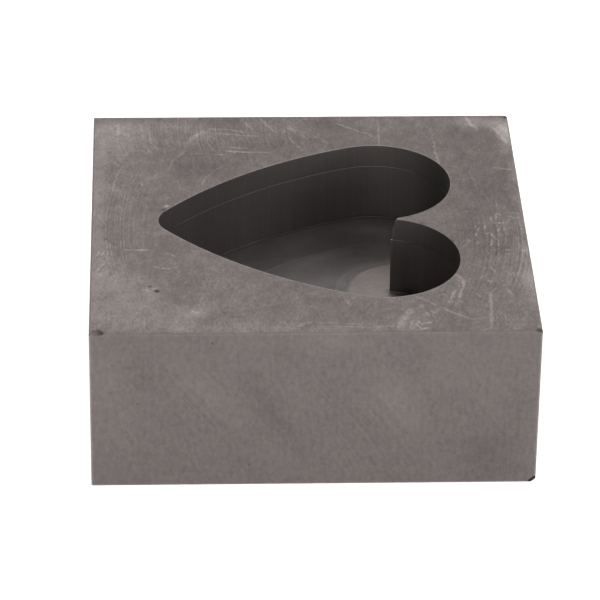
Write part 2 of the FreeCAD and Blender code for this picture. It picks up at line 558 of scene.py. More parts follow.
def wear_tree(materials):
    """Rubbed, nicked edges on the block and a crumbled rim on the pocket."""
    edge_strip = 0.6 * MM     # width of the strip along an edge on which nicks fall
    smallest_share = 0.25     # of the largest nick
    crumble_size = 0.5 * MM
    crumble_share = 0.3       # of a ball's radius: how uneven its surface is
    unrubbed_share = 0.35     # of the waves along an edge, at whose troughs it stays sharp
    rub_swing = 2.0           # the waves' noise swings by about half
    fresh_depth = 0.1 * MM    # of a nick, at which its fresh graphite shows in full
    knock_weight = 3.0        # a placed knock shows that much more than a nick of the same depth
    most_broken = 2.0

    tree = bpy.data.node_groups.new("mould_wear", "GeometryNodeTree")
    face = tree.interface
    face.new_socket("Geometry", in_out="INPUT", socket_type="NodeSocketGeometry")
    for name in WEAR_SIZES:
        face.new_socket(name, in_out="INPUT", socket_type="NodeSocketFloat")
    face.new_socket("Seed", in_out="INPUT", socket_type="NodeSocketInt")
    face.new_socket("Geometry", in_out="OUTPUT", socket_type="NodeSocketGeometry")
    given = tree.nodes.new("NodeGroupInput").outputs

    position = add(tree, "GeometryNodeInputPosition")
    normal = add(tree, "GeometryNodeInputNormal")
    parts = add(tree, "ShaderNodeSeparateXYZ", {0: position}).outputs
    to_x = math_chain(tree, parts["X"], ("ABSOLUTE",), ("SUBTRACT", LENGTH / 2), ("MULTIPLY", -1.0))
    to_y = math_chain(tree, parts["Y"], ("ABSOLUTE",), ("SUBTRACT", WIDTH / 2), ("MULTIPLY", -1.0))
    to_z = math_chain(tree, parts["Z"], ("SUBTRACT", LOW.z + HEIGHT / 2), ("ABSOLUTE",),
                      ("SUBTRACT", HEIGHT / 2), ("MULTIPLY", -1.0))
    nearer = math_chain(tree, to_x, ("MINIMUM", to_y))
    second = math_chain(tree, to_x, ("MAXIMUM", to_y), ("MINIMUM", to_z))
    to_edge = math_chain(tree, nearer, ("MAXIMUM", second))
    arris = add(tree, "ShaderNodeMapRange", {
        "Value": to_edge, "From Min": given["Arris reach"], "From Max": 0.0}, interpolation_type="SMOOTHSTEP")
    stored = add(tree, "GeometryNodeStoreNamedAttribute", {
        "Geometry": given["Geometry"], "Name": "arris", "Value": arris}, data_type="FLOAT", domain="POINT")

    def nicks(geometry, along_edge, gap, radius, depth, seed_step):
        """Balls along an edge, whose surfaces cut the scoops."""
        where = math_chain(tree, along_edge, ("LESS_THAN", edge_strip / 2))
        density = math_chain(tree, 1.0, ("DIVIDE", math_chain(tree, gap, ("MULTIPLY", edge_strip))))
        seed = math_chain(tree, given["Seed"], ("ADD", seed_step))
        spots = add(tree, "GeometryNodeDistributePointsOnFaces", {
            "Mesh": geometry, "Selection": where, "Density": density, "Seed": seed})
        size_share = add(tree, "FunctionNodeRandomValue", {
            2: smallest_share, 3: 1.0, "Seed": seed}, data_type="FLOAT").outputs[1]
        ball = math_chain(tree, radius, ("MULTIPLY", size_share))
        back = math_chain(tree, ball, ("SUBTRACT", math_chain(tree, depth, ("MULTIPLY", size_share))))
        push = add(tree, "ShaderNodeVectorMath", {
            0: spots.outputs["Normal"], "Scale": back}, operation="SCALE")
        placed = add(tree, "GeometryNodeSetPosition", {"Geometry": spots.outputs["Points"], "Offset": push})
        return add(tree, "GeometryNodeStoreNamedAttribute", {
            "Geometry": placed, "Name": "ball", "Value": ball}, data_type="FLOAT", domain="POINT")

    rim = add(tree, "GeometryNodeInputNamedAttribute", {"Name": "rim"}, data_type="FLOAT")
    outer = nicks(stored, to_edge, given["Nick gap"], given["Nick size"], given["Nick depth"], 0)
    inner = nicks(stored, rim, given["Rim gap"], given["Rim size"], given["Rim depth"], 1)
    balls = add(tree, "GeometryNodeJoinGeometry")
    for source in (inner, outer):
        tree.links.new(source.outputs[0], balls.inputs[0])

    nearest = add(tree, "GeometryNodeSampleNearest", {"Geometry": balls}, domain="POINT")
    ball = add(tree, "GeometryNodeInputNamedAttribute", {"Name": "ball"}, data_type="FLOAT")
    radius = add(tree, "GeometryNodeSampleIndex", {
        "Geometry": balls, "Value": ball, "Index": nearest}, data_type="FLOAT", domain="POINT")
    centre = add(tree, "GeometryNodeSampleIndex", {
        "Geometry": balls, "Value": position, "Index": nearest}, data_type="FLOAT_VECTOR", domain="POINT")
    way = add(tree, "ShaderNodeVectorMath", {0: position, 1: centre}, operation="SUBTRACT")
    distance = add(tree, "ShaderNodeVectorMath", {0: way}, operation="LENGTH")
    crumble = add(tree, "ShaderNodeTexNoise", {
        "Vector": position, "Scale": 1 / crumble_size, "Detail": 1.0})
    rough_radius = math_chain(
        tree, crumble, ("MULTIPLY_ADD", crumble_share, 1 - crumble_share / 2), ("MULTIPLY", radius))
    lack = math_chain(tree, rough_radius, ("SUBTRACT", distance.outputs["Value"]), ("MAXIMUM", 0.0))
    heading = add(tree, "ShaderNodeVectorMath", {0: way}, operation="NORMALIZE")
    pushed = add(tree, "ShaderNodeVectorMath", {0: heading, "Scale": lack}, operation="SCALE")
    waves = add(tree, "ShaderNodeTexNoise", {
        "Vector": position, "Scale": math_chain(tree, 1.0, ("DIVIDE", given["Rub length"])), "Detail": 3.0})
    rub = math_chain(tree, waves, ("SUBTRACT", unrubbed_share), ("MAXIMUM", 0.0), ("MULTIPLY", arris),
                     ("MULTIPLY", given["Rub depth"]), ("MULTIPLY", -rub_swing))
    depth_shade_weight = add(tree, "ShaderNodeVectorMath", {0: normal, "Scale": rub}, operation="SCALE")
    both = add(tree, "ShaderNodeVectorMath", {0: pushed, 1: depth_shade_weight}, operation="ADD")
    knock = add(tree, "GeometryNodeInputNamedAttribute", {"Name": "knock"}, data_type="FLOAT")
    broken = math_chain(tree, knock, ("MULTIPLY", knock_weight), ("ADD", lack), ("DIVIDE", fresh_depth),
                        ("MINIMUM", most_broken))
    marked = add(tree, "GeometryNodeStoreNamedAttribute", {
        "Geometry": stored, "Name": "broken", "Value": broken}, data_type="FLOAT", domain="POINT")
    # Wear takes material away, so nothing moves out of the block
    place = add(tree, "ShaderNodeVectorMath", {0: position, 1: both}, operation="ADD")
    place = add(tree, "ShaderNodeVectorMath", {0: place, 1: HIGH}, operation="MINIMUM")
    place = add(tree, "ShaderNodeVectorMath", {0: place, 1: LOW}, operation="MAXIMUM")
    worn = add(tree, "GeometryNodeSetPosition", {"Geometry": marked, "Position": place})

    result = add(tree, "GeometryNodeRealizeInstances", {"Geometry": worn})
    finish = add(tree, "GeometryNodeInputNamedAttribute", {"Name": "finish"}, data_type="INT")
    for number, material in enumerate(materials):
        chosen = add(tree, "FunctionNodeCompare", {2: finish, 3: number}, data_type="INT", operation="EQUAL")
        result = add(tree, "GeometryNodeSetMaterial", {
            "Geometry": result, "Selection": chosen, "Material": material})
    ends = tree.nodes.new("NodeGroupOutput")
    tree.links.new(result.outputs[0], ends.inputs[0])
    return tree


def set_inputs(modifier, values):
    """Give a modifier's inputs by the names that the tree shows."""
    sockets = {item.name: item.identifier for item in modifier.node_group.interface.items_tree
               if item.in_out == "INPUT"}
    for name, value in values.items():
        modifier[sockets[name]] = value


# Materials


def graphite(name):
    """A new material with an empty tree, and its place in millimetres."""
    material = bpy.data.materials.new(name)
    material.use_nodes = True
    tree = material.node_tree
    tree.nodes.clear()
    place = add(tree, "ShaderNodeTexCoord").outputs["Object"]
    mm = add(tree, "ShaderNodeVectorMath", {0: place, "Scale": 1 / MM}, operation="SCALE")
    return material, tree, mm


def finished(tree, tone, height, look, bump_mm, tint=1.0):
    """Colour from a tone of 0 to 1, roughness that follows it, and a bump of a height in millimetres."""
    ramp = add(tree, "ShaderNodeValToRGB", {0: tone})
    stops = ((0.0, look.pit), (0.35, look.dark), (0.5, look.plain), (0.7, look.light), (1.0, look.chalk))
    elements = ramp.color_ramp.elements
    for index, (place, hue) in enumerate(stops):
        stop = elements[index] if index < len(elements) else elements.new(place)
        stop.position = place
        stop.color = hue
    shade = add(tree, "ShaderNodeHueSaturation", {"Saturation": tint, "Color": ramp})
    rough = add(tree, "ShaderNodeMapRange", {
        "Value": tone, "From Min": 0.3, "From Max": 0.8,
        "To Min": look.roughness - 0.05, "To Max": look.roughness + 0.1})
    bump = add(tree, "ShaderNodeBump", {"Height": height, "Distance": bump_mm * MM, "Strength": 1.0})
    shader = add(tree, "ShaderNodeBsdfPrincipled", {
        "Base Color": shade, "Roughness": rough, "Normal": bump, "Metallic": look.metallic})
    add(tree, "ShaderNodeOutputMaterial", {"Surface": shader})


def total(tree, *terms):
    """Sum of values, each times its weight or weights, which may be values too."""
    result = 0.0
    for value, weight, *more in terms:
        for factor in more:
            weight = math_chain(tree, weight, ("MULTIPLY", factor))
        result = add(tree, "ShaderNodeMath", {0: value, 1: weight, 2: result}, operation="MULTIPLY_ADD")
    return result


def mottle(tree, place, wave, detail=3.0, coarse=0.5, stretch=(1, 1, 1), turn=0.0):
    """Uneven pattern about nought, with one wave in so many millimetres, stretched and turned if asked."""
    turned = add(tree, "ShaderNodeMapping", {
        "Vector": place, "Rotation": (0, 0, turn), "Scale": stretch}, vector_type="TEXTURE")
    fac = add(tree, "ShaderNodeTexNoise", {
        "Vector": turned, "Scale": 1 / wave, "Detail": detail, "Roughness": coarse})
    return math_chain(tree, fac, ("SUBTRACT", 0.5))


def varied(tree, pattern, contrast, mean, least=0.0):
    """A strength that follows a pattern about nought and never falls under the least."""
    return math_chain(tree, pattern, ("MULTIPLY_ADD", contrast, mean), ("MAXIMUM", least))


def wavering(tree, mm, wave, reach):
    """Places that waver within a reach, so that a straight mark laid on them looks made by hand."""
    noise = add(tree, "ShaderNodeTexNoise", {"Vector": mm, "Scale": 1 / wave, "Detail": 2.0}).outputs["Color"]
    noise = add(tree, "ShaderNodeVectorMath", {0: noise, 1: (0.5, 0.5, 0.5)}, operation="SUBTRACT")
    return add(tree, "ShaderNodeVectorMath", {
        0: noise, 1: (reach, reach, 0), 2: mm}, operation="MULTIPLY_ADD")


def hairlines(tree, phase, pitch):
    """Parallel lines about nought of uneven strength, so many millimetres apart along a phase."""
    fac = add(tree, "ShaderNodeTexNoise", {
        "W": phase, "Scale": 1 / pitch, "Detail": 2.0, "Roughness": 0.6}, noise_dimensions="1D")
    return math_chain(tree, fac, ("SUBTRACT", 0.5))


def thin_line(tree, value, middle, reach):
    """Soft line where a value passes its middle: 1 there and 0 at its reach."""
    return math_chain(tree, value, ("SUBTRACT", middle), ("ABSOLUTE",), ("DIVIDE", -reach), ("ADD", 1.0),
                      ("MAXIMUM", 0.0))


def sweep_phase(tree, place, side, radius, height):
    """Distance across the arcs that a fly cutter leaves, which bulge to -X or, with a side of -1, to +X."""
    parts = add(tree, "ShaderNodeSeparateXYZ", {0: place}).outputs
    up = math_chain(tree, parts["Y"], ("SUBTRACT", height))
    square = math_chain(tree, up, ("MULTIPLY", up))
    arc = math_chain(tree, square, ("MULTIPLY", -1.0), ("ADD", radius ** 2), ("SQRT",), ("MULTIPLY", side))
    return math_chain(tree, parts["X"], ("ADD", arc))


def thrown_scratches(tree, place, cell, width, lean, spread, share_marked):
    """Straight scratches at random places, at most one to a cell of so many millimetres."""
    shortest_share = 0.15     # of the cell: half the length of a scratch
    longest_share = 0.85
    cells = add(tree, "ShaderNodeTexVoronoi", {"Vector": place, "Scale": 1 / cell}, voronoi_dimensions="2D")
    dice = add(tree, "ShaderNodeSeparateColor", {0: cells.outputs["Color"]}).outputs
    away = add(tree, "ShaderNodeVectorMath", {0: place, 1: cells.outputs["Position"]}, operation="SUBTRACT")
    angle = math_chain(tree, dice[0], ("SUBTRACT", 0.5), ("MULTIPLY", spread), ("SUBTRACT", lean))
    turned = add(tree, "ShaderNodeVectorRotate", {"Vector": away, "Angle": angle}, rotation_type="Z_AXIS")
    parts = add(tree, "ShaderNodeSeparateXYZ", {0: turned}).outputs
    reach = math_chain(tree, dice[2], (
        "MULTIPLY_ADD", (longest_share - shortest_share) * cell, shortest_share * cell))
    shorter, thinner = (
        math_chain(tree, part, ("ABSOLUTE",), ("DIVIDE", end), ("SUBTRACT", 1.0), ("MULTIPLY", -1.0),
                   ("MAXIMUM", 0.0))
        for part, end in ((parts["X"], reach), (parts["Y"], width)))
    chosen = math_chain(tree, dice[1], ("LESS_THAN", share_marked))
    return math_chain(tree, shorter, ("MULTIPLY", thinner), ("MULTIPLY", chosen))


def spot(tree, place, centre, reach, turn=0.0):
    """Soft oval spot as seen from above: 1 in its middle and 0 at its reach."""
    local = add(tree, "ShaderNodeMapping", {
        "Vector": place, "Location": (*centre, 0), "Rotation": (0, 0, turn), "Scale": (*reach, FAR)},
        vector_type="TEXTURE")
    return add(tree, "ShaderNodeTexGradient", {"Vector": local}, gradient_type="SPHERICAL").outputs["Fac"]


def on_block(shares):
    """Place on the block in millimetres, from hundredths of half its length and width."""
    return (shares[0] / 100 * LENGTH / 2 / MM, shares[1] / 100 * WIDTH / 2 / MM)


def patches(tree, place, marks):
    """Sum of soft spots: middle and reach in hundredths of half the block, turn in degrees, strength."""
    return total(tree, *(
        (spot(tree, place, on_block(middle), on_block(reach), math.radians(turn)), strength)
        for middle, reach, turn, strength in marks))


def scratches(tree, place, marks):
    """Sum of scratches: a line of points in hundredths of half the block, width in millimetres, strength."""
    overlap = 1.5             # each stretch tapers, so it runs past its ends into its neighbours
    steepness = 2.0           # of a scratch's sides, so that its middle is flat
    result = 0.0
    for line, width, strength in marks:
        mark = 0.0
        points = [on_block(shares) for shares in line]
        for a, b in zip(points, points[1:]):
            middle = ((a[0] + b[0]) / 2, (a[1] + b[1]) / 2)
            reach = (math.dist(a, b) / 2 * overlap, width / (2 - 1 / steepness))
            mark = math_chain(tree, spot(tree, place, middle, reach, direction(a, b)), ("MAXIMUM", mark))
        mark = math_chain(tree, mark, ("MULTIPLY", steepness), ("MINIMUM", 1.0))
        result = add(tree, "ShaderNodeMath", {0: mark, 1: strength, 2: result}, operation="MULTIPLY_ADD")
    return result


# Inputs of a ramp between two places, of which the last two may be left at nought and one
RAMP_INPUTS = ("Value", "From Min", "From Max", "To Min", "To Max")
# Clouds on the floor, in hundredths of half the block; the first, at the back right, and the last, at the
# wedge's foot, are painted shade
FLOOR_CLOUD_AND_SHADE_SHARES = (
    ((26, 34), (30, 20), 0, -0.15),
    ((34.6, 58), (18, 7), 0, 0.08),
    ((38.6, 49), (5, 12), 0, 0.08),
    ((9, 32), (16, 5), 28.65, 0.06),
    ((7, 17), (16, 8), 0, -0.05),
    ((46.4, -5.2), (7.2, 5.2), 0, -0.45),
)
# Clouds on the sawn sides, in hundredths of half the block along the face and up from its middle
SIDE_CLOUD_SHARES = (
    ((-92, 8), (14, 36), 0, 0.035),
    ((-76, 18), (12, 12), 0, -0.03),
    ((-47, 8), (28, 9), -50, 0.045),
    ((-20, -2), (30, 9), -61, -0.05),
    ((8, 36), (22, 9), 0, 0.05),
    ((36, 4), (30, 13), -59, 0.05),
    ((54, 18), (12, 16), 0, 0.03),
    ((78, -24), (22, 22), 0, -0.05),
    ((90, -2), (12, 24), 0, -0.03),
)
# Marks on the top face, as the photograph shows them. Soft lighter and darker clouds:
TOP_CLOUD_SHARES = (
    ((-82, 90), (34, 8), 0, 0.18),
    ((-88, 76), (20, 26), 0, 0.14),
    ((-97, 0), (6, 110), 0, 0.13),
    ((-45, 84), (9, 20), -35, 0.12),
    ((-78, -78), (34, 26), 0, 0.10),
    ((-40, -90), (40, 14), 0, 0.07),
    ((-52, -82), (14, 9), 25, 0.10),
    ((-96, -35), (8, 18), 0, 0.10),
    ((96, 88), (9, 14), 0, 0.26),
    ((98, 78), (6, 18), -6, 0.32),
    ((85, 95), (18, 7), 0, 0.20),
    ((99, -10), (5, 100), 0, 0.16),
    ((92, -58), (14, 26), 0, 0.07),
    ((85, 28), (30, 46), 0, -0.07),
    ((86, -26), (10, 12), 0, -0.10),
    ((44, -88), (16, 16), -20, 0.10),
    ((-96, -28), (5, 9), 0, -0.08),
    ((-37, 96), (16, 6), 0, -0.10),
    ((8, 93), (12, 7), 0, -0.08),
    ((-60, -62), (10, 22), -30, -0.08),
    ((-8, -62), (22, 8), 0, -0.05),
    ((-62, 22), (14, 24), 0, -0.05),
    ((-88, 84), (16, 12), 0, 0.12),
    ((-45, 50), (32, 30), 0, -0.10),
    ((-14, 69), (22, 18), 0, -0.10),
    ((-90, -52), (18, 28), 0, 0.13),
    ((74, -8), (14, 26), 0, -0.08),
    ((97, -58), (6, 18), 0, 0.10),
    ((-58, -72), (14, 8), 0, -0.08),
    ((5, -72), (12, 7), 0, -0.10),
    ((8, -96), (50, 6), 0, 0.07),
    ((84, 90), (13, 9), 0, 0.15),
    ((-40, 89), (12, 9), 0, -0.12),
    ((16, 89), (12, 9), 0, -0.12),
    ((-52, 49), (24, 10), 0, -0.07),
    ((-95, -7), (8, 12), 0, -0.12),
    ((-64, -23), (12, 12), 0, -0.12),
    ((88, 1), (12, 12), 0, 0.05),
    ((96, -31), (8, 12), 0, 0.09),
    ((-44, -87), (12, 9), 0, -0.10),
    ((-16, -95), (12, 7), 0, 0.12),
    ((92, -95), (12, 7), 0, 0.11),
    ((12, 73), (12, 8), 0, -0.07),
    ((72, 81), (10, 10), 0, -0.08),
)
# Scratches, each along its line
TOP_SCRATCH_SHARES = (
    # Back left
    (((-77, 92), (-76, 77)), 0.6, 0.14),
    (((-73.5, 87), (-72, 72), (-67, 65)), 0.6, 0.16),
    (((-76, 72), (-72, 64)), 0.6, 0.15),
    (((-88, 92), (-88.5, 76)), 0.9, 0.14),
    (((-91, 56.5), (-87.5, 51.5)), 0.6, 0.20),
    (((-86.5, 49.5), (-89, 41), (-90, 30.5)), 0.6, 0.16),
    (((-82.5, 45.5), (-80.5, 38), (-78.5, 45.5), (-76.5, 38)), 0.5, 0.10),
    (((-55.5, 73.5), (-49, 83.5), (-46.5, 84.5)), 1.2, 0.16),
    (((-59.5, 60), (-55.5, 66.5)), 0.7, 0.16),
    (((-62, 57), (-64, 48)), 0.6, 0.14),
    (((-54, 63), (-45.5, 63)), 0.5, 0.22),
    (((-42, 62), (-37, 62)), 0.5, 0.24),
    (((-48.5, 33.5), (-47, 39), (-43, 46), (-38, 51.5)), 0.55, 0.18),
    (((-22, 57), (-18, 49)), 0.6, 0.12),
    (((-46, 73), (-41, 64)), 0.6, 0.12),
    # Back
    (((-44, 87.5), (-34.5, 86.5), (-27, 83.5)), 0.8, 0.20),
    (((-42, 83), (-28, 81), (-21, 80)), 0.8, 0.20),
    (((-37, 65.5), (-27.5, 64.5)), 0.9, 0.36),
    (((-31, 64.6), (-16, 63.6)), 0.6, 0.22),
    (((-35, 69), (-27, 68)), 1.1, 0.16),
    (((-29, 97), (-22, 83)), 0.8, 0.10),
    (((-20, 98), (-13, 84)), 1.0, 0.16),
    (((-7.5, 88), (-1, 85)), 1.2, 0.14),
    (((-7, 80), (-3.5, 72), (0, 65)), 0.7, 0.16),
    (((5, 79), (8.5, 78), (12, 72)), 0.7, 0.14),
    (((1.5, 97), (5, 97)), 1.2, 0.14),
    (((17, 92.5), (21, 89.5), (24, 86.5), (28, 83.5), (31.5, 82), (34, 78.5)), 0.65, 0.24),
    (((37, 93.5), (36.5, 70.5)), 0.6, 0.18),
    (((62.8, 73), (62.6, 64), (64, 51)), 0.6, 0.26),
    (((62, 91), (62.5, 72)), 0.6, 0.10),
    (((80, 98), (81, 92), (84.5, 86)), 1.0, 0.24),
    (((92, 87), (95, 80), (97.5, 72)), 1.0, 0.18),
    # Right
    (((90, 47.5), (98, 46)), 0.65, 0.28),
    (((78, 43.5), (80.5, 24.5)), 0.7, 0.10),
    (((74.5, 36), (75, 36.5)), 0.6, 0.16),
    (((72, 6), (79, 6)), 0.5, 0.14),
    (((88, 15), (88, 9.5)), 0.5, 0.16),
    (((90.5, 7.5), (92, 11)), 0.5, 0.20),
    (((90, 5.5), (92.5, 5.5)), 0.5, 0.16),
    (((94.5, 4.5), (98.5, 4.5)), 0.5, 0.16),
    (((87, -1), (87, 3), (88.5, 4.5), (89, 2)), 0.6, 0.24),
    (((91.5, 1.5), (95, 1.5)), 0.5, 0.20),
    (((84, 1), (85, -2.5), (86, -5.5)), 0.6, 0.22),
    (((94, 0), (98, 0)), 0.5, 0.16),
    (((78.5, -4.5), (79, -4.5)), 0.6, 0.28),
    (((87, -4.5), (92, -4.5)), 0.5, 0.20),
    (((76, -16.5), (77, -13.5), (78.5, -9)), 0.6, 0.30),
    (((81, -6.5), (80.5, -12), (81, -15.5)), 0.5, 0.16),
    (((88, -8.5), (87, -12)), 0.7, 0.28),
    (((90, -8.5), (89.5, -12)), 0.6, 0.22),
    (((91, -9), (93, -9)), 0.5, 0.20),
    (((87, -14.5), (89, -16.5)), 0.6, 0.20),
    (((83.5, -16.5), (85, -19)), 0.6, 0.20),
    (((83.5, -20), (82.5, -24.5)), 0.9, 0.26),
    (((83, -25), (82, -31.5)), 0.4, -0.12),
    (((86.5, -20), (85.5, -24.5)), 0.5, 0.20),
    (((88.5, -18.5), (87, -25)), 0.4, 0.16),
    (((90, -18.5), (88.5, -25.5)), 0.5, 0.20),
    (((91.5, -18.5), (90.5, -25)), 0.4, 0.14),
    (((73.5, -20), (70.5, -26)), 0.6, 0.16),
    (((88.5, -29), (92, -29)), 0.7, 0.26),
    (((88.5, -33), (91.5, -33)), 0.5, 0.20),
    (((95.5, -29.5), (98.5, -29.5)), 0.6, 0.18),
    (((82.5, -29), (80.5, -33.5)), 0.6, 0.18),
    (((82.5, -34), (80.5, -40.5)), 0.4, 0.15),
    (((84.5, -34), (83, -40.5)), 0.4, 0.15),
    (((86.5, -34), (85, -40.5)), 0.4, 0.15),
    (((79, -44.5), (77, -48)), 0.6, 0.20),
    (((80.5, -42.5), (82.5, -49)), 0.6, 0.22),
    # Front right
    (((65, -50.5), (67.5, -55), (68, -60), (66.5, -64.5), (65, -70.5)), 0.8, 0.26),
    (((64, -54.5), (66, -56.5)), 0.6, 0.18),
    (((63.5, -65), (61, -72), (60, -76)), 0.8, 0.26),
    (((64, -70.5), (62, -75.5), (60.5, -80)), 0.5, -0.14),
    (((65, -70.5), (66.5, -70.5)), 0.5, 0.14),
    (((64.5, -74), (66.5, -74)), 0.5, 0.14),
    (((57.5, -67.5), (59, -68.5)), 0.6, 0.18),
    (((45.5, -69.5), (49, -72), (52, -75), (54, -77)), 0.9, 0.20),
    (((53.5, -76.5), (54.5, -77.5)), 0.7, 0.12),
    (((56, -79), (62, -84), (68.5, -89), (72.5, -89.5)), 0.6, 0.24),
    (((72.5, -67), (74.5, -70.5)), 0.7, 0.22),
    (((75, -72), (76.5, -72.5)), 0.5, 0.18),
    (((76, -54), (79, -49.5)), 0.6, 0.18),
    (((79, -55.5), (80.5, -58)), 0.9, 0.14),
    (((78.5, -67), (82, -63)), 0.6, 0.20),
    (((76.5, -64.5), (78, -64.5)), 0.5, 0.14),
    (((79, -67), (79, -70), (78.5, -82), (77.5, -96)), 0.9, 0.22),
    (((77.5, -96), (74, -99)), 0.6, 0.16),
    (((87, -63.5), (89, -69)), 0.8, 0.18),
    (((86, -81.5), (86.5, -82)), 0.6, 0.20),
    (((83, -99), (90, -97)), 1.0, 0.12),
    (((37, -95), (38.5, -90), (40.5, -85), (43.5, -81)), 2.2, 0.22),
    (((36, -95.5), (37, -95.5)), 0.6, 0.18),
    (((41.5, -95.5), (43, -90.5)), 0.6, 0.20),
    (((42.5, -96.5), (44.5, -92.5), (46, -96.5)), 0.6, 0.20),
    (((45, -90.5), (47, -94)), 0.6, 0.20),
    (((47.5, -93), (51.5, -91.5)), 0.7, 0.30),
    (((46, -97.5), (49.5, -96.5)), 0.7, 0.26),
    (((46, -79.5), (49, -77)), 0.8, 0.14),
    (((49, -82.5), (50.5, -86.5)), 0.9, 0.24),
    (((51.5, -82), (53.5, -84), (56, -79.5)), 0.7, 0.16),
    (((55, -87.5), (55.5, -90)), 0.5, 0.14),
    (((51.5, -88), (57, -90)), 0.6, -0.08),
    (((-0.5, -91), (11, -92), (22, -93)), 0.6, 0.10),
    (((6, -94.5), (25, -95.5), (35, -94.5)), 0.6, 0.12),
    # Front and left
    (((14.5, -72.5), (16, -77)), 0.8, 0.18),
    (((-13.5, -57.5), (-11, -61)), 0.8, 0.12),
    (((-8, -94), (-1, -90)), 0.9, 0.12),
    (((-85.5, -27), (-83, -27)), 0.6, 0.14),
    (((-83, -27), (-72.5, -27)), 0.6, 0.28),
    (((-93.5, -16), (-90.5, -20.5), (-87.5, -23)), 0.6, -0.16),
    (((-66.5, -30.5), (-64, -30), (-61.5, -33.5)), 0.7, 0.18),
    (((-72, -41.5), (-68.5, -43), (-64, -44)), 0.6, 0.18),
    (((-73, -38.5), (-69.5, -40.5)), 0.5, -0.08),
    (((-97, -32), (-95.5, -27)), 0.3, 0.22),
    (((-95, -32), (-93.5, -27)), 0.3, 0.22),
    (((-93, -32), (-91.5, -27.5)), 0.3, 0.20),
    (((-92.5, -34), (-91.5, -40)), 0.3, 0.16),
    (((-90.5, -29), (-91.5, -36)), 0.3, 0.16),
    (((-97.5, -46), (-95.5, -43)), 0.4, 0.20),
    (((-94.5, -45), (-93, -42.5)), 0.4, 0.18),
    (((-91.5, -86), (-87, -93)), 0.9, 0.10),
    (((-57, -96), (-62, -96)), 1.2, 0.08),
    (((-51, -85), (-55, -80)), 1.6, 0.10),
)
# Where short scratches lie thick, with their strength
TOP_HATCH_SHARES = (
    ((85, -14), (18, 24), 0, 0.90),
    ((46, -88), (16, 20), -20, 0.30),
    ((-94, -34), (9, 20), 0, 0.50),
    ((-80, 35), (16, 18), 0, 0.45),
    ((80, -72), (24, 34), 0, 0.25),
    ((-45, 80), (22, 22), 0, 0.25),
    ((-30, 66), (20, 8), 0, 0.25),
    ((2, -64), (30, 16), 0, 0.25),
    ((-8, -92), (30, 12), 0, 0.30),
    ((-85, 84), (24, 18), 0, 0.25),
    ((92, 0), (14, 60), 0, 0.15),
)
# Pits where a grain of the graphite has broken out
TOP_PIT_SHARES = (
    ((-73, -59.5), (1.4, 1.4), 0, -0.45),
    ((-70, -63.5), (1.8, 1.8), 0, -0.70),
    ((-66.6, 9.6), (2.0, 1.8), 0, -0.35),
    ((-74, -63), (1.6, 1.2), 0, 0.20),
    ((-75.5, -62), (1.6, 1.2), 0, 0.20),
    ((-71, -61.5), (1.6, 1.2), 0, 0.22),
    ((99, 97.2), (1.6, 2.0), 0, -0.60),
    ((-95.4, -98.6), (1.6, 2.0), 0, -0.20),
    ((98.4, -99), (1.8, 1.4), 0, -0.16),
    ((98.6, -96), (1.4, 1.2), 0, 0.22),
    ((-65.2, 13.0), (2.2, 1.6), 40, 0.40),
)


# Where the cutter's sweeps to the left, to the right and at the back show: a share of the bare spots that
# lie everywhere, and a patch
TOP_SWEEP_SHARES = (
    (1.0, ((-92, 4), (32, 60), 0, 1.0)),
    (0.8, ((86, -24), (34, 60), 0, 1.5)),
    (0.8, ((-40, 82), (80, 50), 0, 1.0)),
)


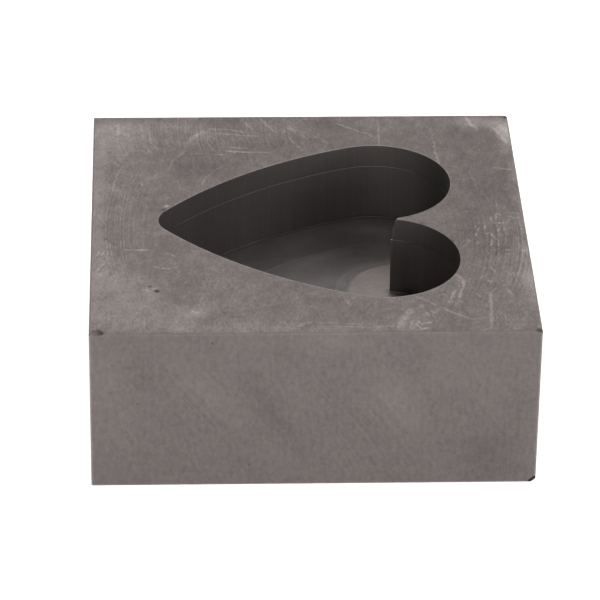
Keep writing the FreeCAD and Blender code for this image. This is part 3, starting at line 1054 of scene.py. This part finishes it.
def faced_material(look):
    """Fly-cut top: crossing sweeps of the cutter show as hairlines under soft clouds, scratches and scuffs;
    the rim is burnished lighter, and the arrises are worn lighter and have a painted highlight."""
    bare_tone = 0.485
    burnish_start = 0.7 * MM
    burnish_full = 0.1 * MM
    material, tree, mm = graphite("graphite_fly_cut")
    parts = add(tree, "ShaderNodeSeparateXYZ", {0: mm}).outputs
    place = wavering(tree, mm, wave=6.0, reach=0.5)

    # Real tooth marks are finer: these are about half a millimetre apart, as fine as the render can show.
    # Each sweep: its places, the side that it bulges to, its radius, the Y of its middle, its lines' pitch
    left_sweep, right_sweep, steep_sweep, back_sweep = (
        hairlines(tree, sweep_phase(tree, where, side, radius, middle), pitch)
        for where, side, radius, middle, pitch in (
            (mm, 1, 110, -4, 0.4), (mm, -1, 80, -6, 0.55),
            (place, 1, 70, 44, 0.5), (place, -1, 62, 20, 0.5)))
    # The marks come and go along each sweep
    gaps = varied(tree, mottle(tree, mm, wave=5.0, coarse=0.6), contrast=3.5, mean=0.9)
    bare = varied(tree, mottle(tree, mm, wave=9.0, detail=2.0), contrast=2.0, mean=0.2)
    left_bare, right_bare, steep_bare = (
        math_chain(tree, total(tree, (bare, everywhere), (patches(tree, mm, (patch,)), 1.0)),
                   ("MULTIPLY", gaps))
        for everywhere, patch in TOP_SWEEP_SHARES)
    grain = mottle(tree, mm, wave=0.55, coarse=0.65, stretch=(1, 1.8, 1))
    blotch = mottle(tree, mm, wave=2.4, coarse=0.6, stretch=(1, 1.5, 1))
    cloud = mottle(tree, mm, wave=15.0, detail=4.0, coarse=0.55, stretch=(1, 0.7, 1))
    wisps = mottle(tree, place, wave=5.0, detail=4.0, coarse=0.6, stretch=(0.35, 1.2, 1), turn=-0.35)

    fine = thrown_scratches(tree, place, cell=4.0, width=0.16, lean=1.6, spread=1.2, share_marked=0.6)
    long = thrown_scratches(tree, place, cell=12.0, width=0.2, lean=1.7, spread=1.2, share_marked=0.4)
    hatch = thrown_scratches(tree, place, cell=2.6, width=0.3, lean=1.35, spread=1.0, share_marked=0.7)
    scuffed = varied(tree, mottle(tree, mm, wave=9.0, detail=2.0), contrast=6.0, mean=-0.2)
    scuffed = math_chain(tree, scuffed, ("MINIMUM", 1.0))
    scuffs = thrown_scratches(tree, place, cell=3.2, width=0.4, lean=1.2, spread=3.0, share_marked=0.5)
    uneven = mottle(tree, mm, wave=1.5, detail=2.0, coarse=0.6)
    uneven = varied(tree, uneven, contrast=1.8, mean=0.72, least=0.3)

    drawn = scratches(tree, wavering(tree, mm, wave=1.5, reach=0.7), TOP_SCRATCH_SHARES)
    drawn = math_chain(tree, drawn, ("MULTIPLY", uneven))
    clouds = patches(tree, place, TOP_CLOUD_SHARES)
    cloudy = math_chain(tree, cloud, ("MULTIPLY_ADD", 1.5, 1.0))
    pits = patches(tree, mm, TOP_PIT_SHARES)

    rim, arris, broken = (
        add(tree, "ShaderNodeAttribute", attribute_name=name).outputs["Fac"]
        for name in ("rim", "arris", "broken"))
    burnish = add(tree, "ShaderNodeMapRange", {
        "Value": rim, "From Min": burnish_start, "From Max": burnish_full}, interpolation_type="SMOOTHSTEP")
    worn_rim = varied(tree, mottle(tree, mm, wave=4.0, detail=2.0), contrast=0.3, mean=0.055)
    # The arrises are lighter, partly from wear and partly as a painted highlight
    arris_wear_and_highlight = math_chain(tree, arris, ("POWER", 4.0))

    tone = total(
        tree, (left_sweep, left_bare, 0.34), (right_sweep, right_bare, 0.34),
        (steep_sweep, steep_bare, 0.27), (back_sweep, steep_bare, 0.18),
        (grain, 0.39), (blotch, 0.28), (cloud, 0.20), (wisps, 0.18), (fine, 0.10), (long, 0.09),
        (hatch, patches(tree, mm, TOP_HATCH_SHARES), 0.5), (scuffs, scuffed, 0.10), (drawn, 1.0),
        (clouds, cloudy), (pits, 1.0), (parts["X"], -0.0008), (parts["Y"], -0.0003),
        (burnish, worn_rim), (arris_wear_and_highlight, 0.22), (broken, -0.02))
    tone = math_chain(tree, tone, ("ADD", bare_tone))
    height = total(
        tree, (left_sweep, left_bare), (right_sweep, right_bare), (grain, 0.8), (drawn, -1.5), (pits, 3.0))
    finished(tree, tone, height, look, bump_mm=0.02)
    return material


def sawn_material(look):
    """Sawn and sanded sides: fine mottling of the pressed grain, with pores, and faint slanted streaks of
    the saw that come and go."""
    bare_tone = 0.417
    lean = 0.5                # of the saw's streaks
    bow = 0.006               # of the streaks per millimetre of height
    pore_gap = 7.0
    pore_sharpness = 18.0
    chip_top = 3.0            # up to here a chip is painted dark as shade near the underside; above, its break is hardly darker
    material, tree, mm = graphite("graphite_sawn")
    parts = add(tree, "ShaderNodeSeparateXYZ", {0: mm}).outputs
    up = parts["Z"]
    run = math_chain(tree, parts["X"], ("ADD", parts["Y"]))
    phase = total(tree, (run, 1.0), (up, lean), (math_chain(tree, up, ("MULTIPLY", up)), bow))
    bands = hairlines(tree, phase, pitch=11.0)
    saw = hairlines(tree, phase, pitch=1.1)
    sawn_where = varied(tree, mottle(tree, mm, wave=9.0, detail=2.0), contrast=3.0, mean=0.4)
    grain = mottle(tree, mm, wave=0.8, coarse=0.65)
    worms = mottle(tree, mm, wave=1.7, detail=2.0, coarse=0.6, stretch=(0.6, 0.6, 1.5))
    cloud = mottle(tree, mm, wave=12.0)
    along_face = math_chain(tree, run, ("ADD", WIDTH / 2 / MM))
    from_middle = math_chain(tree, up, ("SUBTRACT", (LOW.z + HEIGHT / 2) / MM))
    face = add(tree, "ShaderNodeCombineXYZ", {"X": along_face, "Y": from_middle})
    clouds = patches(tree, face, SIDE_CLOUD_SHARES)
    dots = add(tree, "ShaderNodeTexVoronoi", {"Vector": mm, "Scale": 1 / pore_gap}).outputs["Distance"]
    pores = math_chain(tree, dots, ("MULTIPLY", -pore_sharpness), ("ADD", 1.0), ("MAXIMUM", 0.0))
    arris, broken = (
        add(tree, "ShaderNodeAttribute", attribute_name=name).outputs["Fac"] for name in ("arris", "broken"))
    # The arrises are lighter, partly from wear and partly as a painted highlight
    arris_wear_and_highlight = math_chain(tree, arris, ("POWER", 4.0))
    # Painted shade in chips near the underside
    low_chip_shade = dict(zip(RAMP_INPUTS, (up, chip_top, chip_top + 1, -0.25, -0.02)))
    low_chip_shade = add(tree, "ShaderNodeMapRange", low_chip_shade)
    tone = total(
        tree, (bands, 0.04), (saw, sawn_where, 0.08), (grain, 0.15), (worms, 0.14), (cloud, 0.06),
        (clouds, 1.0), (pores, -0.2), (arris_wear_and_highlight, 0.24), (broken, low_chip_shade))
    tone = math_chain(tree, tone, ("ADD", bare_tone))
    height = total(tree, (saw, 0.3), (grain, 1.0), (worms, 1.0), (pores, -4.0))
    finished(tree, tone, height, look, bump_mm=0.03, tint=look.side_tint)
    return material


# Painted shade where the wall's foot meets the floor's edge, a little lighter near the tip, a ramp along the
# heart: its start, its end, its tones
FOOT_SHADE = (-12.0, -3.0, 0.04, -0.10)


def wall_material(look, shape):
    """End-milled wall: upright feed marks, a lighter band above the line where the first pass ended, and
    painted shade that deepens towards the foot, in the near lobe and at the lobes' right ends.
    """
    bare_tone = 0.60
    material, tree, mm = graphite("graphite_milled_wall")
    parts = add(tree, "ShaderNodeSeparateXYZ", {0: mm}).outputs
    x, y = parts["X"], parts["Y"]
    depth = math_chain(tree, parts["Z"], ("SUBTRACT", TOP / MM), ("MULTIPLY", -1.0))
    from_middle = math_chain(tree, y, ("ABSOLUTE",))
    ledge = shape.pass_depth / MM
    bottom = shape.pocket_depth / MM
    feed = mottle(tree, mm, wave=0.6, detail=2.0, coarse=0.6, stretch=(1, 1, 60))
    broad = mottle(tree, mm, wave=4.0, detail=2.0, coarse=0.6, stretch=(1, 1, 20))
    grain = mottle(tree, mm, wave=0.8, coarse=0.6)
    # Shares that change between two places, in millimetres: what each follows, its start and its end
    ramps = {
        "flank": (x, -22.0, 0.0),
        "begins": (x, -14.0, 2.0),
        "ends": (x, 14.0, 26.0, 1.0, 0.35),
        "near": (y, 1.0, -1.0),
        "below": (depth, ledge - 0.1, ledge + 0.1),
        "right": (x, 26.0, 33.0),
        "near_right": (x, 22.0, 33.0),
        "near_left": (x, 26.0, 20.0),
        "deep": (depth, 6.0, 14.0),
        "ledge_shade": (x, 25.0, 28.0),
        "near_ledge_shade": (x, 21.5, 25.0),
        "tip_ledge_shade": (x, -28.5, -32.0),
        "foot": (depth, bottom - 0.4, bottom - 0.2),
        "foot_shade": (x, *FOOT_SHADE),
        "fresh": (from_middle, 0.25, 0.12),
        "fresh_depth": (depth, 10.0, 3.0),
    }
    at = {name: add(tree, "ShaderNodeMapRange", dict(zip(RAMP_INPUTS, row))) for name, row in ramps.items()}
    # Painted shade that deepens from the rim towards the foot: a change of tone per mm of depth, small near
    # the tip, greatest on the middle of the far side and in the near lobe
    near_depth_shade_weight = math_chain(tree, at["near"], ("MULTIPLY", 1.5))
    depth_shade_weight = math_chain(tree, at["begins"], ("MULTIPLY", at["ends"]), ("MAXIMUM", near_depth_shade_weight))
    # Painted shade low in the near lobe, on its left part
    low_left_shade = math_chain(tree, at["near"], ("MULTIPLY", at["near_left"]), ("MULTIPLY", at["deep"]))
    # The ledge catches the light on the far side only; elsewhere it is painted in shade, and so is the wall's
    # foot
    line = thin_line(tree, depth, middle=ledge, reach=0.15)
    near_ledge_shade = math_chain(tree, at["near_ledge_shade"], ("MULTIPLY", at["near"]))
    ledge_shade = math_chain(tree, at["ledge_shade"], ("MAXIMUM", near_ledge_shade), ("MAXIMUM", at["tip_ledge_shade"]))
    # Fresh graphite shows where the wedge's edge has broken away
    in_lobes = math_chain(tree, x, ("GREATER_THAN", 0.0))
    fresh = math_chain(tree, at["fresh"], ("MULTIPLY", at["fresh_depth"]), ("MULTIPLY", in_lobes))
    # Painted shade darkens the wall with depth, at the lobes' right ends, in the near lobe and at the foot
    tone = total(
        tree, (feed, 0.08), (broad, 0.06), (grain, 0.10), (at["flank"], 0.10), (depth, -0.005),
        (depth, depth_shade_weight, -0.0105), (at["below"], at["flank"], 0.025), (at["right"], -0.10),
        (at["near_right"], at["near"], -0.11), (low_left_shade, -0.165), (line, ledge_shade, -0.22),
        (at["foot"], at["foot_shade"]), (fresh, 0.2))
    tone = math_chain(tree, tone, ("ADD", bare_tone))
    height = total(tree, (feed, 1.0), (grain, 0.6))
    finished(tree, tone, height, look, bump_mm=0.02, tint=look.pocket_tint)
    return material


def floor_material(look, shape):
    """Milled floor: a band that the last pass left along the wall, a little darker than the floor inside it,
    lines that follow the wall, a light disc by the cusp, and painted shade by the walls and on the right."""
    bare_tone = 0.515
    material, tree, mm = graphite("graphite_milled_floor")
    parts = add(tree, "ShaderNodeSeparateXYZ", {0: mm}).outputs
    x, y = parts["X"], parts["Y"]
    inset = add(tree, "ShaderNodeAttribute", attribute_name="inset").outputs["Fac"]
    inset = math_chain(tree, inset, ("DIVIDE", MM))
    band = shape.finish_band / MM
    follow = hairlines(tree, inset, pitch=0.9)
    across = mottle(tree, mm, wave=0.7, detail=2.0, coarse=0.6, stretch=(4, 1, 1), turn=0.35)
    grain = mottle(tree, mm, wave=0.7, coarse=0.6)
    cloud = mottle(tree, mm, wave=7.0)
    streaks = mottle(tree, mm, wave=0.8, detail=2.0, coarse=0.6, stretch=(1, 8, 1))
    streaked = spot(tree, mm, centre=(8.3, 3.0), reach=(3.0, 7.0))
    # Round a point behind the cusp: a light disc, a fainter ring outside it and a thin line between them
    disc_middle = (21.8, 0)
    reach = 18.0              # up to which the distance from that point is known
    from_disc_middle = math_chain(tree, spot(tree, mm, disc_middle, (reach, reach)), ("MULTIPLY_ADD", -reach, reach))
    # Shares that change between two places, in millimetres: what each follows, its start and its end
    ramps = {
        "island": (inset, band - 0.2, band + 0.1),
        "disc": (from_disc_middle, 12.4, 11.7),
        "ring": (from_disc_middle, 15.9, 12.5),
        "right_half": (x, 11.0, 14.0),
        "left": (x, 3.0, -3.0),
        "right": (x, 2.0, 9.0),
        "shade": (inset, 1.5, 0.3),
        "near": (y, 1.0, -1.0, 0.5, 1.0),
        "foot": (inset, 0.3, 0.2),
        "foot_shade": (x, *FOOT_SHADE),
    }
    at = {name: add(tree, "ShaderNodeMapRange", dict(zip(RAMP_INPUTS, row))) for name, row in ramps.items()}
    line = thin_line(tree, inset, middle=band, reach=1 / 3)
    disc_line = thin_line(tree, from_disc_middle, middle=11.8, reach=0.3)
    away = math_chain(tree, at["ring"], ("MULTIPLY_ADD", -1.0, 1.0))
    # Painted shade by the walls, most in the near lobe, at the floor's edge and towards the right
    tone = total(
        tree, (follow, away, 0.07), (across, 0.08), (grain, 0.08), (cloud, 0.14), (at["island"], 0.03),
        (line, at["left"], 0.10), (at["disc"], 0.17), (at["ring"], 0.08),
        (disc_line, at["right_half"], 0.06), (at["right"], -0.05), (at["shade"], at["near"], -0.20),
        (at["foot"], at["foot_shade"]), (streaks, streaked, 0.5),
        (patches(tree, mm, FLOOR_CLOUD_AND_SHADE_SHARES), 1.0))
    tone = math_chain(tree, tone, ("ADD", bare_tone))
    height = total(tree, (follow, away), (grain, 0.6), (across, 0.5))
    tint = add(tree, "ShaderNodeMapRange", {"Value": at["disc"], "To Min": look.pocket_tint, "To Max": 1.0})
    finished(tree, tone, height, look, bump_mm=0.02, tint=tint)
    return material


# Operators


class MOULD_OT_add_block(bpy.types.Operator):
    """Build the graphite block with its heart-shaped pocket, worn edges and finishes"""

    bl_idname = "mould.add_block"
    bl_label = "Add Block"

    def execute(self, context):
        scene = context.scene
        look = scene.mould_finish
        wear = scene.mould_wear
        shape = scene.mould_shape
        materials = [
            faced_material(look), sawn_material(look),
            wall_material(look, shape), floor_material(look, shape)]
        draft = bpy.data.objects.new("mould_draft", block_mesh(shape))
        scene.collection.objects.link(draft)
        modifier = draft.modifiers.new("wear", "NODES")
        modifier.node_group = wear_tree(materials)
        set_inputs(modifier, {
            name: getattr(wear, name.lower().replace(" ", "_")) for name in (*WEAR_SIZES, "Seed")})
        context.view_layer.update()
        worn = draft.evaluated_get(context.evaluated_depsgraph_get())
        mesh = bpy.data.meshes.new_from_object(worn)
        if not mesh.polygons:
            raise RuntimeError("the wear tree returned no mesh")
        bpy.data.objects.remove(draft)
        mould = bpy.data.objects.new("mould", mesh)
        scene.collection.objects.link(mould)
        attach(mould, "root")
        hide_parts(NODE)
        return {"FINISHED"}


# Soft boxes in metres: name, place, point that it faces, width, height, and the setting of its power
SOFT_BOXES = (
    ("back_soft_box", (0, 0.8, 0.62), (0, 0, TOP), 2.0, 0.8, "back_light"),
    ("front_card", (0, -0.8, 0.12), (0, 0, TOP / 2), 1.6, 0.24, "front_light"),
    ("high_soft_box", (0, -0.45, 0.9), (0, 0, TOP), 1.0, 0.7, "high_light"),
)


def area_light(scene, name, place, aim, width, height, power):
    """A soft box that stands at a place and faces another."""
    light = bpy.data.lights.new(name, "AREA")
    light.shape = "RECTANGLE"
    light.size = width
    light.size_y = height
    light.energy = power
    lamp = bpy.data.objects.new(name, light)
    lamp.location = place
    lamp.rotation_euler = (Vector(aim) - Vector(place)).to_track_quat("-Z", "Y").to_euler()
    scene.collection.objects.link(lamp)


def add_camera(scene, studio):
    """The photograph's view of the block."""
    azimuth, elevation = studio.azimuth, studio.elevation
    level_share = math.cos(elevation)
    forward = Vector((
        math.sin(azimuth) * level_share, math.cos(azimuth) * level_share, -math.sin(elevation)))
    level = forward.cross(Vector((0, 0, 1))).normalized()
    right = math.cos(studio.roll) * level + math.sin(studio.roll) * level.cross(forward)
    up = right.cross(forward)
    data = bpy.data.cameras.new("camera")
    data.lens = studio.lens
    data.sensor_width = 36
    data.clip_start = 0.01
    camera = bpy.data.objects.new("camera", data)
    turned = Matrix((right, up, -forward)).transposed().to_4x4()
    camera.matrix_world = Matrix.Translation(studio.camera_place) @ turned
    scene.collection.objects.link(camera)
    scene.camera = camera


def add_floor(scene, studio):
    """A sheet of white paper, large enough to fill every view, just under the block."""
    reach = 20 * LENGTH
    gap = 0.01 * MM
    fibre_size = 2 * MM
    fibre_height = 0.01 * MM
    mesh = bpy.data.meshes.new("floor")
    corners = [(x * reach, y * reach, LOW.z - gap) for x, y in ((-1, -1), (1, -1), (1, 1), (-1, 1))]
    mesh.from_pydata(corners, [], [(0, 1, 2, 3)])
    paper = bpy.data.materials.new("white_paper")
    paper.use_nodes = True
    tree = paper.node_tree
    tree.nodes.clear()
    place = add(tree, "ShaderNodeTexCoord").outputs["Object"]
    fibre = add(tree, "ShaderNodeTexNoise", {"Vector": place, "Scale": 1 / fibre_size, "Detail": 2.0})
    bump = add(tree, "ShaderNodeBump", {"Height": fibre, "Distance": fibre_height})
    shader = add(tree, "ShaderNodeBsdfPrincipled", {
        "Base Color": studio.floor, "Roughness": 0.9, "Specular IOR Level": 0.0, "Normal": bump,
        "Emission Color": (1, 1, 1, 1), "Emission Strength": studio.floor_glow})
    add(tree, "ShaderNodeOutputMaterial", {"Surface": shader})
    mesh.materials.append(paper)
    floor = bpy.data.objects.new("floor", mesh)
    scene.collection.objects.link(floor)


class MOULD_OT_set_studio(bpy.types.Operator):
    """Lay the white floor, hang the soft boxes and stand the camera where the photograph was taken"""

    bl_idname = "mould.set_studio"
    bl_label = "Set Studio"

    def execute(self, context):
        scene = context.scene
        studio = scene.mould_studio
        add_floor(scene, studio)
        add_camera(scene, studio)
        for name, place, aim, width, height, power in SOFT_BOXES:
            area_light(scene, name, place, aim, width, height, getattr(studio, power))
        # The even light is dim on the left of the room, which is X below nought in its directions
        dim_side = -0.9
        full_side = 0.3
        world = bpy.data.worlds.new("studio")
        world.use_nodes = True
        tree = world.node_tree
        tree.nodes.clear()
        way = add(tree, "ShaderNodeSeparateXYZ", {0: add(tree, "ShaderNodeTexCoord").outputs["Generated"]})
        even = add(tree, "ShaderNodeMapRange", {
            "Value": way.outputs["X"], "From Min": dim_side, "From Max": full_side,
            "To Min": studio.sky * studio.left_shade, "To Max": studio.sky}, interpolation_type="SMOOTHSTEP")
        sky = add(tree, "ShaderNodeBackground", {"Color": (1, 1, 1, 1), "Strength": even})
        add(tree, "ShaderNodeOutputWorld", {"Surface": sky})
        scene.world = world
        scene.view_settings.view_transform = "Standard"
        return {"FINISHED"}


class MOULD_PT_build(bpy.types.Panel):
    """Lists what the script builds, with its sizes"""

    bl_idname = "MOULD_PT_build"
    bl_label = "Heart Ingot Mould"
    bl_space_type = "VIEW_3D"
    bl_region_type = "UI"
    bl_category = "Mould"

    def draw(self, context):
        scene = context.scene
        for settings in (scene.mould_shape, scene.mould_wear, scene.mould_finish):
            box = self.layout.box()
            for name in settings.__annotations__:
                box.prop(settings, name)
        self.layout.operator(MOULD_OT_add_block.bl_idname)
        box = self.layout.box()
        for name in scene.mould_studio.__annotations__:
            box.prop(scene.mould_studio, name)
        self.layout.operator(MOULD_OT_set_studio.bl_idname)


GROUPS = {
    "mould_shape": MouldShape,
    "mould_wear": MouldWear,
    "mould_finish": MouldFinish,
    "mould_studio": MouldStudio,
}
CLASSES = (*GROUPS.values(), MOULD_OT_add_block, MOULD_OT_set_studio, MOULD_PT_build)


def register():
    for cls in CLASSES:
        bpy.utils.register_class(cls)
    for name, group in GROUPS.items():
        setattr(bpy.types.Scene, name, bpy.props.PointerProperty(type=group))


def unregister():
    for name in GROUPS:
        delattr(bpy.types.Scene, name)
    for cls in reversed(CLASSES):
        bpy.utils.unregister_class(cls)


def main():
    register()
    bpy.ops.mould.add_block()
    bpy.ops.mould.set_studio()


if __name__ == "__main__":
    main()
